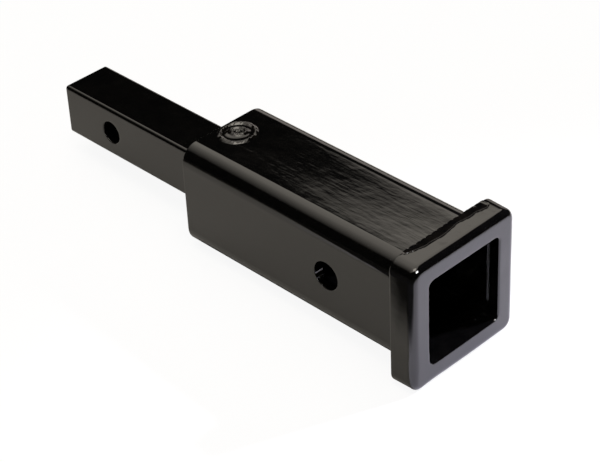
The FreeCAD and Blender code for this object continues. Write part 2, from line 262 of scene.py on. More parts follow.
def placed(name: str, data: bpy.types.ID) -> bpy.types.Object:
    """Puts an object in the scene.

    Args:
        name: its name.
        data: its mesh, lamp or camera.

    Returns:
        The object.
    """
    thing = bpy.data.objects.new(name, data)
    bpy.context.scene.collection.objects.link(thing)
    return thing


def finished(
    name: str, bm: Form, material: Material, nodes: Iterable[str] = (),
    flats: bool = False,
) -> bpy.types.Object:
    """Turns a mesh into a piece that rides with the object.

    Args:
        name: the piece's name.
        bm: the finished mesh, freed here.
        material: its paint.
        nodes: the solid nodes that the piece stands for.
        flats: whether its flat faces keep straight normals up to their rounded edges.

    Returns:
        The piece's object.
    """
    bmesh.ops.remove_doubles(bm, verts=bm.verts, dist=MERGE_GAP)
    bmesh.ops.recalc_face_normals(bm, faces=bm.faces)
    for face in bm.faces:
        face.smooth = True
    for edge in bm.edges:
        edge.smooth = not flats or edge.calc_face_angle(0.0) < SHARP_ANGLE
    mesh = bpy.data.meshes.new(name)
    bm.to_mesh(mesh)
    bm.free()
    piece = placed(name, mesh)
    mesh.materials.append(material)
    if flats:
        straight = piece.modifiers.new("flats", "WEIGHTED_NORMAL")
        straight.keep_sharp = True
    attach(piece, BODY)
    if nodes:
        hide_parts(*nodes)
    LOG.info("%s: %d faces", name, len(mesh.polygons))
    return piece


def smooth_between(stations: Sequence[float], share: float) -> float:
    """A value that runs smoothly through evenly spaced stations.

    Args:
        stations: the values at the stations.
        share: the place along them, from 0 to 1.

    Returns:
        The value there.
    """
    span = len(stations) - 1
    here = min(max(share, 0.0), 1.0) * span
    first = min(int(here), span - 1)
    ease = (1 - math.cos((here - first) * math.pi)) / 2
    return stations[first] + (stations[first + 1] - stations[first]) * ease


# Finishes


class NodeBench:
    """Adds and joins a material's nodes."""

    def __init__(self, tree: bpy.types.NodeTree) -> None:
        """Clears the tree and keeps it."""
        self.tree = tree
        tree.nodes.clear()

    def add(self, kind: str, **values: object) -> Node:
        """Adds a node.

        Args:
            kind: the node's type name without its prefix.
            **values: its properties, or its inputs by their names in lower case.

        Returns:
            The new node.
        """
        node = self.tree.nodes.new(f"ShaderNode{kind}")
        named = {self.plain(socket) for socket in node.inputs}
        settings = values.keys() - named
        for name in settings:
            setattr(node, name, values[name])
        sockets = {
            self.plain(socket): socket for socket in reversed(node.inputs) if socket.enabled
        }
        for name in values.keys() - settings:
            self.feed(sockets[name], values[name])
        return node

    def fill(self, node: Node, *values: object) -> Node:
        """Fills a node's inputs in their order, for a node whose inputs share a name.

        Args:
            node: the node.
            *values: a socket or a number for each of its inputs.

        Returns:
            The same node.
        """
        for socket, value in zip(node.inputs, values):
            self.feed(socket, value)
        return node

    def feed(self, socket: Socket, value: object) -> None:
        """Joins an input to another node's socket, or sets it to a value.

        Args:
            socket: the input.
            value: the other node's socket, or the value.
        """
        if isinstance(value, Socket):
            self.tree.links.new(value, socket)
        else:
            socket.default_value = value

    @staticmethod
    def plain(socket: Socket) -> str:
        """A socket's name in lower case, as a Python word."""
        return socket.name.lower().replace(" ", "_")


@dataclass(frozen=True)
class Paint:
    """A black gloss paint over steel, with the unevenness of the steel under it.

    Its colour goes from deep to dusty and its roughness from sleek to dull. The peel, the
    drawn lines and the sag are the heights of its three kinds of unevenness.
    """

    name: str
    deep: Triple
    dusty: Triple
    sleek: float
    dull: float
    coat_roughness: float
    peel: float
    drawn: float
    sag: float
    tone_span: Pair = (0.35, 0.7)
    gloss_span: Pair = (0.3, 0.7)

    def field(self, bench: NodeBench, wave: Wave, detail: float = 2.0) -> Socket:
        """A field of smooth noise over the object.

        Args:
            bench: the material's nodes.
            wave: how far the noise runs each way.
            detail: how many finer layers it has.

        Returns:
            The field's value socket.
        """
        place = bench.add("TexCoord").outputs["Object"]
        spread = bench.add("Mapping", vector=place, scale=wave.value)
        cloud = bench.add(
            "TexNoise", vector=spread.outputs["Vector"], scale=1.0, detail=detail,
            roughness=0.5,
        )
        return cloud.outputs["Fac"]

    def material(self) -> Material:
        """Builds the paint.

        Returns:
            The material.
        """
        material = bpy.data.materials.new(self.name)
        material.use_nodes = True
        bench = NodeBench(material.node_tree)
        mist = self.field(bench, Wave.MIST, detail=4.0)
        tone = bench.add(
            "MapRange", value=mist, from_min=self.tone_span[0], from_max=self.tone_span[1]
        )
        colour = bench.add(
            "Mix", data_type="RGBA", factor=tone.outputs["Result"],
            a=(*self.deep, 1), b=(*self.dusty, 1),
        )
        gloss = bench.add(
            "MapRange", value=self.field(bench, Wave.SAG, detail=3.0),
            from_min=self.gloss_span[0], from_max=self.gloss_span[1],
            to_min=self.sleek, to_max=self.dull,
        )
        relief = {}
        for wave, height in (
            (Wave.SAG, self.sag), (Wave.DRAWN, self.drawn), (Wave.PEEL, self.peel),
        ):
            if height:
                bump = bench.add(
                    "Bump", strength=1.0, distance=height, height=self.field(bench, wave),
                    **relief,
                )
                relief = {"normal": bump.outputs["Normal"]}
        shader = bench.add(
            "BsdfPrincipled", ior=1.5, base_color=colour.outputs[2],
            roughness=gloss.outputs["Result"], coat_weight=1.0,
            coat_roughness=self.coat_roughness, coat_normal=relief["normal"], **relief,
        )
        bench.add("OutputMaterial", surface=shader.outputs["BSDF"])
        return material


BAR_PAINT = Paint(
    name="black_paint_on_bar",
    deep=(0.0022, 0.0022, 0.0022),
    dusty=(0.0045, 0.0043, 0.004),
    sleek=0.04,
    dull=0.08,
    coat_roughness=0.025,
    peel=0.006 * MM,
    drawn=0.008 * MM,
    sag=0.03 * MM,
)
TUBE_PAINT = replace(
    BAR_PAINT, name="black_paint_on_drawn_tube", peel=0.02 * MM, drawn=0.015 * MM,
    sag=0.06 * MM,
)
COLLAR_PAINT = replace(
    BAR_PAINT, name="black_paint_on_collar", peel=0.002 * MM, drawn=0.0, sag=0.08 * MM,
)
WELD_PAINT = replace(
    BAR_PAINT, name="black_paint_on_welds", dusty=(0.008, 0.0065, 0.005),
    peel=0.01 * MM, drawn=0.0, sag=0.05 * MM,
)


# The object's parts


@dataclass
class Shank:
    """The solid square bar that goes into the vehicle's receiver."""

    edge_radius: float = 2.1 * MM
    end_round: float = 1.5 * MM
    hole_width: float = 13.8 * MM
    hole_inset: float = 39.7 * MM
    hole_rim: float = 0.6 * MM

    def build(self, paint: Material) -> None:
        """Builds the bar with its rounded rear end and its pin hole.

        Args:
            paint: the bar's paint.
        """
        low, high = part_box("shank_bar")
        width = high.z - low.z
        bm = bmesh.new()
        rear = rounding(
            (low.x + self.end_round, width, self.edge_radius), self.end_round, END_STEPS,
            forward=False,
        )
        skin(bm, [*rear, (high.x, width, self.edge_radius)])
        bore_across(
            bm, low.x + self.hole_inset, self.hole_width, (low.y, high.y), self.hole_rim
        )
        finished("shank", bm, paint, ["shank_bar"], flats=True)


@dataclass
class ReceiverTube:
    """The square tube that takes the larger hitch, bored across for its pin."""

    wall: float = 6.0 * MM
    corner: float = 10.5 * MM
    bore_corner: float = 4.5 * MM
    end_round: float = 0.7 * MM
    hole_width: float = 16.9 * MM
    hole_rim: float = 0.3 * MM
    hollow: float = 0.07 * MM
    hollow_power: int = 6
    hollow_lines: tuple[float, ...] = (0.62, 0.72, 0.8, 0.87, 0.93, 0.97)

    def build(self, paint: Material) -> None:
        """Builds the open tube and its cross hole.

        Args:
            paint: the tube's paint.
        """
        low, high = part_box("receiver_tube")
        width = high.z - low.z
        bore = width - 2 * self.wall
        bm = bmesh.new()
        rear = rounding(
            (low.x + self.end_round, width, self.corner), self.end_round, END_STEPS,
            forward=False,
        )
        front = (high.x, width, self.corner)
        inside = [(place, bore, self.bore_corner) for place in (high.x, low.x)]
        skin(bm, [*rear, front, *inside], ring=True)
        self.sink_flats(bm, width / 2)
        walls = (low.y, low.y + self.wall, high.y - self.wall, high.y)
        bore_across(bm, 0.0, self.hole_width, walls, self.hole_rim)
        finished("tube", bm, paint, ["receiver_tube"], flats=True)

    def sink_flats(self, bm: Form, face: float) -> None:
        """Sinks the outer flats, which rolling leaves hollow between their corners.

        Args:
            bm: the tube's mesh.
            face: the distance of the outer flats from the centreline.
        """
        flat = face - self.corner
        for axis in (Vector((0, 1, 0)), Vector((0, 0, 1))):
            for line in self.hollow_lines:
                for place in (-line * flat, line * flat):
                    bmesh.ops.bisect_plane(
                        bm, geom=bm.verts[:] + bm.edges[:] + bm.faces[:],
                        plane_co=axis * place, plane_no=axis,
                    )
        for vert in bm.verts:
            for out, beside in ((1, 2), (2, 1)):
                if abs(vert.co[out]) > face - SLIVER and abs(vert.co[beside]) < flat:
                    depth = self.hollow * (1 - (vert.co[beside] / flat) ** self.hollow_power)
                    vert.co[out] -= math.copysign(depth, vert.co[out])


@dataclass
class CollarWeldLine:
    """The line on the collar's outside at which the welds behind it end."""

    sides: tuple[Side, ...] = (Side.TOP, Side.BOTTOM)
    ends: Pair = (-29.0 * MM, 31.5 * MM)
    reaches: tuple[float, ...] = (2.4 * MM, 4.6 * MM, 5.2 * MM, 3.9 * MM, 4.6 * MM, 5.8 * MM)
    end_taper: float = 3.0 * MM
    waver: float = 0.8 * MM
    waver_pitch: float = 5.0 * MM
    waver_seed: float = 3.7

    @property
    def run(self) -> float:
        """The weld's length."""
        return self.ends[1] - self.ends[0]

    def fullness(self, across: float) -> float:
        """How full the weld still is towards its rounded ends.

        Args:
            across: the place across the side, from its middle.

        Returns:
            Its fullness, from 0 to 1.
        """
        left = min(across - self.ends[0], self.ends[1] - across)
        late = 1 - min(left / self.end_taper, 1.0)
        return math.sqrt(max(1 - late ** 2, 0.0))

    def reach(self, across: float) -> float:
        """How far the weld reaches forward of the collar's back at a place across it.

        Args:
            across: the place across the side, from its middle.

        Returns:
            The reach.
        """
        share = (across - self.ends[0]) / self.run
        place = Vector((across / self.waver_pitch, self.waver_seed, 0.0))
        shake = noise.noise(place) * self.waver
        return (smooth_between(self.reaches, share) + shake) * self.fullness(across)


@dataclass
class Collar:
    """The formed collar round the mouth: a lip over the tube's end and a seat behind it."""

    line: CollarWeldLine
    corner: float = 7.0 * MM
    front_round: float = 4.0 * MM
    back_round: float = 0.6 * MM
    lip: float = 7.6 * MM
    opening: float = 53.5 * MM
    opening_corner: float = 3.6 * MM
    opening_round: float = 1.0 * MM
    seat: float = 63.7 * MM
    seat_corner: float = 10.6 * MM
    side_cuts: int = 63
    back_steps: int = 3
    length_steps: int = 18
    nose_steps: int = 9
    face_steps: int = 6
    edge_steps: int = 4
    seat_margin: float = 1.5 * MM
    lip_margin: float = 0.1 * MM
    mouth_margin: float = 2.0 * MM
    wobble: float = 0.2 * MM
    wobble_pitch: float = 24.0 * MM
    bulge: float = 1.0 * MM
    bulge_breadth: float = 9.0 * MM
    hollow: float = 0.5 * MM
    hollow_reach: float = 17.0 * MM
    hollow_breadth: float = 7.0 * MM
    draft: float = 0.3 * MM
    bevel_step: float = 0.2 * MM
    bevel_slope: float = 0.5
    bevel_depth: float = 1.2 * MM
    bevel_fullness: float = 0.6

    def build(self, paint: Material) -> None:
        """Builds the collar, its hand-formed unevenness and the bevel under its welds.

        Args:
            paint: the collar's paint.
        """
        low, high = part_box("mouth_collar")
        width = high.z - low.z
        front_flat = high.x - self.front_round
        bm = bmesh.new()
        back = rounding(
            (low.x + self.back_round, width, self.corner), self.back_round,
            self.back_steps, forward=False,
        )
        length = front_flat - back[-1][0]
        sides = [
            (back[-1][0] + length * step / self.length_steps, width, self.corner)
            for step in range(1, self.length_steps)
        ]
        nose = rounding(
            (front_flat, width, self.corner), self.front_round, self.nose_steps,
            forward=True,
        )
        mouth = self.opening + 2 * self.opening_round
        mouth_corner = self.opening_corner + self.opening_round
        _, wide, bend = nose[-1]
        shares = [step / self.face_steps for step in range(1, self.face_steps)]
        face = [
            (high.x, wide + (mouth - wide) * share, bend + (mouth_corner - bend) * share)
            for share in shares
        ]
        edge = []
        for step in range(self.edge_steps + 1):
            angle = QUARTER_TURN * step / self.edge_steps
            inward = self.opening_round * math.sin(angle)
            edge.append((
                high.x - self.opening_round * (1 - math.cos(angle)),
                mouth - 2 * inward,
                mouth_corner - inward,
            ))
        tube_front = high.x - self.lip
        inside = [
            (tube_front, self.opening, self.opening_corner),
            (tube_front, self.seat, self.seat_corner),
            (low.x, self.seat, self.seat_corner),
        ]
        loops = [*back, *sides, *nose, *face, *edge, *inside]
        skin(bm, loops, cuts=self.side_cuts, ring=True)
        for vert in bm.verts:
            self.form(vert, low, high)
        finished("collar", bm, paint, ["mouth_collar"], flats=True)

    def form(self, vert: bmesh.types.BMVert, low: Vector, high: Vector) -> None:
        """Moves one point as the forming and the bevel left it.

        Args:
            vert: the point.
            low: the collar's lowest corner.
            high: its highest corner.
        """
        point = vert.co.copy()
        outer = max(abs(point.y), abs(point.z))
        behind_lip = point.x < high.x - self.lip + self.lip_margin
        if outer < self.seat / 2 + self.seat_margin and behind_lip:
            return
        drift = noise.noise_vector(point / self.wobble_pitch) * self.wobble
        limit = high.z
        thinner = 1 - self.draft * (point.x - low.x) / (high.x - low.x) / limit
        point.yz = point.yz * thinner
        vert.co = point
        for axis in (1, 2):
            if abs(point[axis]) > self.opening / 2 + self.mouth_margin:
                outward = math.copysign(1.0, point[axis])
                vert.co[axis] = point[axis] + min(drift[axis] * outward, 0.0) * outward
        if point.x > high.x - self.front_round:
            ahead = (point.x - high.x + self.front_round) / self.front_round
            vert.co.x = point.x + min(drift.x, 0.0) * ahead
            self.lower_corner(vert, point, ahead, limit)
        for side in self.line.sides:
            drawn = side.turn.inverted() @ point
            covered = self.line.reach(drawn.y) - (point.x - low.x) - self.bevel_step
            inside = self.line.fullness(drawn.y) > self.bevel_fullness
            if inside and drawn.z > limit - self.bevel_depth and covered > 0:
                drawn.z = limit - self.bevel_step - covered * self.bevel_slope
                vert.co = side.turn @ drawn

    def lower_corner(
        self, vert: bmesh.types.BMVert, point: Vector, ahead: float, limit: float
    ) -> None:
        """Swells the near lower corner of the front and hollows its neighbours.

        Args:
            vert: the point that moves.
            point: where it was drawn.
            ahead: how far it lies into the front rounding, from 0 to 1.
            limit: half the collar's width.
        """
        outward = Vector((0, -1, -1)).normalized()
        gap = (Vector((0, point.y, point.z)) - Vector((0, -limit, -limit))).length
        near = math.exp(-((gap / self.bulge_breadth) ** 2))
        side = math.exp(-(((gap - self.hollow_reach) / self.hollow_breadth) ** 2))
        vert.co += outward * (self.bulge * near - self.hollow * side) * ahead
        for axis in (1, 2):
            vert.co[axis] = max(min(vert.co[axis], limit), -limit)


@dataclass
class Bead:
    """A rippled weld bead between two toes, drawn on top and turned to its side.

    The toes are its edges, each as a place along the object and a height, by the place
    across the side. A slow shake moves its ripples and its crown a little.
    """

    name: str
    side: Side
    run: float
    upper_toe: Callable[[float], Pair]
    lower_toe: Callable[[float], Pair]
    fullness: Callable[[float], float]
    crown: float
    ripples: int
    profile: Callable[[float, Vector, Vector], Vector] | None = None
    middle: float = 0.0
    ripple_height: float = 0.35 * MM
    ripple_growth: float = 0.0
    ripple_drift: float = 0.35
    ripple_power: float = 0.8
    ripple_level: float = 0.6
    ripple_ramp: float = 2.0
    crown_shake: float = 0.14
    shake_rates: Triple = (0.6, 2.0, 7.3)
    grain: float = 0.04 * MM
    grain_width: float = 4.0 * MM
    bow: float = 0.55
    ceiling: float = math.inf
    shell: float = 0.8 * MM
    steps_per_ripple: int = 9
    face_steps: int = 22

    def build(self, paint: Material) -> None:
        """Builds the bead as a shell whose back lies inside the pieces it joins.

        Args:
            paint: the bead's paint.
        """
        bm = bmesh.new()
        bmesh.ops.create_grid(
            bm, x_segments=self.ripples * self.steps_per_ripple,
            y_segments=self.face_steps, size=1.0,
        )
        for vert in bm.verts:
            vert.co = self.surface(vert.co.x, (vert.co.y + 1) / 2)
        thickened(bm, self.shell)
        bmesh.ops.transform(bm, matrix=self.side.turn, verts=bm.verts)
        finished(f"{self.name}_{self.side.word}_bead", bm, paint,
                 [f"{self.name}_{self.side.word}"])

    def surface(self, along: float, share: float) -> Vector:
        """A point of the bead's face.

        Args:
            along: the place along the run, from -1 to 1.
            share: the place from the upper toe, 0, to the lower toe, 1.

        Returns:
            The point, drawn on top.
        """
        across = self.middle + along * self.run / 2
        upper = Vector(self.upper_toe(across))
        lower = Vector(self.lower_toe(across))
        chord = lower - upper
        rise = Vector((chord.y, -chord.x)).normalized()
        if rise.y < 0:
            rise = -rise
        full = self.fullness(across)
        arch = 4 * share * (1 - share)
        phase = (along + 1) / 2 * self.ripples - self.bow * arch
        by_ripple, by_share, by_side = self.shake_rates
        shake = noise.noise(
            Vector((phase * by_ripple, share * by_share, self.side.value * by_side))
        )
        wave = abs(math.sin(math.pi * (phase + shake * self.ripple_drift)))
        scallop = wave ** self.ripple_power - self.ripple_level
        grain_place = Vector((across, share * self.grain_width, 0)) / GRAIN_PITCH
        fine = noise.noise(grain_place) * self.grain
        ripple = self.ripple_height * (1 + self.ripple_growth * share ** 3)
        crown = self.crown * (1 - self.crown_shake + self.crown_shake * shake)
        height = arch * crown * full
        height += scallop * ripple * min(arch * self.ripple_ramp, 1.0) * full + fine
        if self.profile:
            flat = self.profile(share, upper, lower) + rise * height
        else:
            flat = upper + chord * share + rise * height
        return Vector((flat.x, across, min(flat.y, self.ceiling)))


@dataclass
class CollarWelds:
    """The welds that tie the collar's back to the tube, one above and one below."""

    line: CollarWeldLine
    leg: float = 5.5 * MM
    crown: float = 0.1 * MM
    ripples: int = 15
    ripple_height: float = 0.08 * MM
    ripple_growth: float = 4.0
    grain: float = 0.01 * MM
    shoulder_slope: float = 0.12
    shoulder_leg_share: float = 0.15
    shoulder_face_share: float = 0.55
    waver: float = 0.6 * MM
    waver_pitch: float = 4.0 * MM
    waver_seed: Pair = (8.0, 0.5)
    tube_corner: float = 10.5 * MM
    upper_depth: float = 0.03 * MM
    lower_depth: float = 0.15 * MM

    def build(self, paint: Material) -> None:
        """Builds the beads.

        Args:
            paint: the beads' paint.
        """
        low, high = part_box("mouth_collar")
        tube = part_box("receiver_tube")[1].z
        bend = tube - self.tube_corner

        def foot(across: float) -> Pair:
            """The lower toe, on the tube's flat and over the start of its corners.

            Args:
                across: the place across the side, from its middle.

            Returns:
                The toe's place along the object and its height.
            """
            place = Vector((across / self.waver_pitch, *self.waver_seed))
            shake = noise.noise(place) * self.waver
            past = min(max(abs(across) - bend, 0.0), self.tube_corner)
            surface = bend + math.sqrt(self.tube_corner ** 2 - past ** 2)
            along = (self.leg + shake) * self.line.fullness(across)
            return low.x - along, surface - self.lower_depth

        def profile(share: float, upper: Vector, lower: Vector) -> Vector:
            """The bead's face: a gentle shoulder from the collar, then a steep fall.

            Args:
                share: the place from the upper toe, 0, to the lower toe, 1.
                upper: the upper toe.
                lower: the lower toe.

            Returns:
                The face's point there.
            """
            ahead = upper.x - low.x + (low.x - lower.x) * self.shoulder_leg_share
            shoulder = upper - Vector((ahead, ahead * self.shoulder_slope))
            turn = self.shoulder_face_share
            if share < turn:
                return upper.lerp(shoulder, share / turn)
            return shoulder.lerp(lower, (share - turn) / (1 - turn))

        for side in self.line.sides:
            Bead(
                name="collar_weld", side=side, run=self.line.run,
                middle=sum(self.line.ends) / 2,
                upper_toe=lambda across: (
                    low.x + self.line.reach(across), high.z - self.upper_depth
                ),
                lower_toe=foot, fullness=self.line.fullness, crown=self.crown,
                ripples=self.ripples, ripple_height=self.ripple_height,
                ripple_growth=self.ripple_growth, grain=self.grain, ceiling=high.z,
                profile=profile,
            ).build(paint)


@dataclass
class ShankWelds:
    """The four welds between the shank and the tube's rear end."""

    leg: float = 9.0 * MM
    lap: float = 2.0 * MM
    crown: float = 1.8 * MM
    ripples: int = 8
    edge_radius: float = 2.1 * MM
    tube_wall: float = 6.0 * MM
    toe_depth: float = 0.1 * MM
    end_taper: float = 0.16

    def build(self, paint: Material) -> None:
        """Builds one bead on each side.

        Args:
            paint: the beads' paint.
        """
        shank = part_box("shank_bar")[1].z
        low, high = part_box("receiver_tube")
        bore = high.z - self.tube_wall
        half_run = shank - self.edge_radius

        def fullness(across: float) -> float:
            """How full the bead still is towards its rounded ends."""
            late = (abs(across) / half_run - 1 + self.end_taper) / self.end_taper
            return math.sqrt(max(1 - max(late, 0.0) ** 2, 0.0))

        for side in Side:
            Bead(
                name="shank_weld", side=side, run=2 * half_run,
                upper_toe=lambda across: (
                    low.x + self.toe_depth,
                    shank + (bore + self.lap - shank) * fullness(across),
                ),
                lower_toe=lambda across: (
                    low.x - self.leg * fullness(across), shank - self.toe_depth
                ),
                fullness=fullness, crown=self.crown, ripples=self.ripples,
            ).build(paint)


@dataclass
class PlugWeld:
    """A weld that fills a hole in the tube's wall: a broken outer ring round a spiral."""

    side: Side
    radius: float = 11.4 * MM
    oval: float = 1.07
    ring_inner: float = 7.3 * MM
    ring_crest: float = 0.55
    ring_fall: float = 1.4
    ring_height: float = 1.1 * MM
    ring_level: float = 0.82
    ring_lumps: float = 0.3
    ring_ripple: float = 0.25 * MM
    ring_ripple_rate: float = 13.0
    ring_ripple_lean: float = 0.8 * MM
    ring_gaps: tuple[float, ...] = (-118.0, 24.0, 84.0, 170.0)
    gap_breadth: float = 9.0
    gap_share: float = 0.3
    lump_rate: float = 2.6
    lump_seed: Pair = (4.0, 1.0)
    lump_reach: float = 0.4 * MM
    rim_depth: float = 0.3 * MM
    dish: float = 0.25 * MM
    dome: float = 0.7 * MM
    dome_reach: float = 5.8 * MM
    dome_power: int = 6
    bead_width: float = 3.3 * MM
    bead_height: float = 1.0 * MM
    bead_ripple: float = 0.2
    bead_ripple_rate: float = 5.0
    spiral_start: float = 0.5 * MM
    spiral_pitch: float = 2.7 * MM
    spiral_turns: float = 1.5
    spiral_stretch: float = 1.3
    grain: float = 0.03 * MM
    shell: float = 1.0 * MM
    rings: int = 44
    spokes: int = 132

    def build(self, paint: Material) -> None:
        """Spins a disc and raises it into the weld's face.

        Args:
            paint: the weld's paint.
        """
        low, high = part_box(f"plug_weld_{self.side.word}")
        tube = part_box("receiver_tube")[1].z
        middle = (low.x + high.x) / 2
        bm = bmesh.new()
        spine = [
            bm.verts.new((self.radius * ring / self.rings, 0, 0))
            for ring in range(self.rings + 1)
        ]
        line = [bm.edges.new(pair) for pair in zip(spine, spine[1:])]
        bmesh.ops.spin(
            bm, geom=spine + line, cent=(0, 0, 0), axis=(0, 0, 1), angle=FULL_TURN,
            steps=self.spokes, use_merge=True,
        )
        bmesh.ops.remove_doubles(bm, verts=bm.verts, dist=MERGE_GAP)
        for vert in bm.verts:
            vert.co.z = self.height(vert.co)
            vert.co.y *= self.oval
        thickened(bm, self.shell)
        bmesh.ops.translate(bm, verts=bm.verts, vec=(middle, 0, tube))
        bmesh.ops.transform(bm, matrix=self.side.turn, verts=bm.verts)
        finished(
            f"plug_{self.side.word}", bm, paint,
            [f"plug_weld_{self.side.word}"],
        )

    def height(self, point: Vector) -> float:
        """How far the weld stands above the tube's wall at a point.

        Args:
            point: the point, from the weld's middle.

        Returns:
            The height.
        """
        height = max(self.outer_ring(point), self.inner_spiral(point))
        return height + noise.noise(point / GRAIN_PITCH) * self.grain

    def outer_ring(self, point: Vector) -> float:
        """The height of the broken ring and of the dish inside it.

        Args:
            point: the point, from the weld's middle.

        Returns:
            The height.
        """
        out = math.hypot(point.x, point.y)
        angle = math.atan2(point.y, point.x)
        way = Vector((math.cos(angle), math.sin(angle), 0))
        seed = Vector((*self.lump_seed, self.side.value))
        lumps = noise.noise(way * self.lump_rate + seed)
        inner = self.ring_inner + lumps * self.lump_reach
        place = (out - inner) / (self.radius - inner)
        if place < self.ring_crest:
            ring = (1 - math.cos(math.pi * max(place, 0.0) / self.ring_crest)) / 2
            floor = -self.dish
        else:
            fallen = min((place - self.ring_crest) / (1 - self.ring_crest), 1.0)
            ring = 1 - fallen ** self.ring_fall
            floor = -self.rim_depth
        ripple = abs(math.sin(angle * self.ring_ripple_rate + out / self.ring_ripple_lean))
        tall = self.ring_height * (self.ring_level + self.ring_lumps * lumps)
        tall -= self.ring_ripple * (1 - ripple)
        for gap in self.ring_gaps:
            away = (math.degrees(angle) - gap + 180) % 360 - 180
            tall *= 1 - (1 - self.gap_share) * math.exp(-((away / self.gap_breadth) ** 2))
        return max(floor + (min(tall, self.ring_height) - floor) * ring, floor)

    def inner_spiral(self, point: Vector) -> float:
        """The height of the dome in the middle and of the bead that is wound on it.

        Args:
            point: the point, from the weld's middle.

        Returns:
            The height.
        """
        slant = Matrix.Rotation(-QUARTER_TURN / 2, 3, "Z") @ point
        slant.x /= self.spiral_stretch
        out = math.hypot(slant.x, slant.y)
        turn = (math.atan2(slant.y, slant.x) + QUARTER_TURN / 2) / FULL_TURN
        slope = min(out / self.dome_reach, 1.0) ** self.dome_power
        base = self.dome * (1 - slope) - self.dish
        height = base
        for lap in range(math.ceil(self.spiral_turns) + 1):
            travelled = turn + lap
            if 0 <= travelled <= self.spiral_turns:
                line = self.spiral_start + self.spiral_pitch * travelled
                aside = (out - line) / (self.bead_width / 2)
                bead = (1 + math.cos(math.pi * min(abs(aside), 1.0))) / 2
                ripple = abs(math.sin(travelled * FULL_TURN * self.bead_ripple_rate))
                scale = 1 - self.bead_ripple * ripple
                height = max(height, base + self.bead_height * bead * scale)
        return height


@dataclass
class Spacers:
    """The four flat bars that fill the gap between the shank and the tube."""

    def dress(self, paint: Material) -> None:
        """Gives the bars, which keep their solid nodes, their paint.

        Args:
            paint: the bars' paint.
        """
        for side in Side:
            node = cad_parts[f"spacer_{side.word}"]
            node.data.materials.clear()
            node.data.materials.append(paint)
            LOG.info("spacer_%s: kept and painted", side.word)


# The studio


def grey(value: float) -> tuple[float, float, float, float]:
    """A solid grey, or white, as a colour socket takes it."""
    return (value, value, value, 1.0)


@dataclass
class Softbox:
    """A soft rectangular lamp with an even face."""

    name: str
    place: Triple
    aim: Triple
    width: float
    height: float
    radiance: float
    turn: float = 0.0
    colour: Triple = (1.0, 1.0, 1.0)
    spread: float = math.pi
    mirrored: bool = True
    lighting: bool = True

    def build(self) -> None:
        """Hangs the lamp, out of the camera's own sight."""
        lamp = bpy.data.lights.new(self.name, "AREA")
        lamp.shape = "RECTANGLE"
        lamp.size = self.width
        lamp.size_y = self.height
        lamp.energy = self.radiance * math.pi * self.width * self.height
        lamp.color = self.colour
        lamp.spread = self.spread
        holder = placed(self.name, lamp)
        way = Vector(self.aim) - Vector(self.place)
        holder.location = self.place
        stand = way.to_track_quat("-Z", "Y").to_matrix() @ Matrix.Rotation(self.turn, 3, "Z")
        holder.rotation_euler = stand.to_euler()
        holder.visible_camera = False
        holder.visible_glossy = self.mirrored
        holder.visible_diffuse = self.lighting


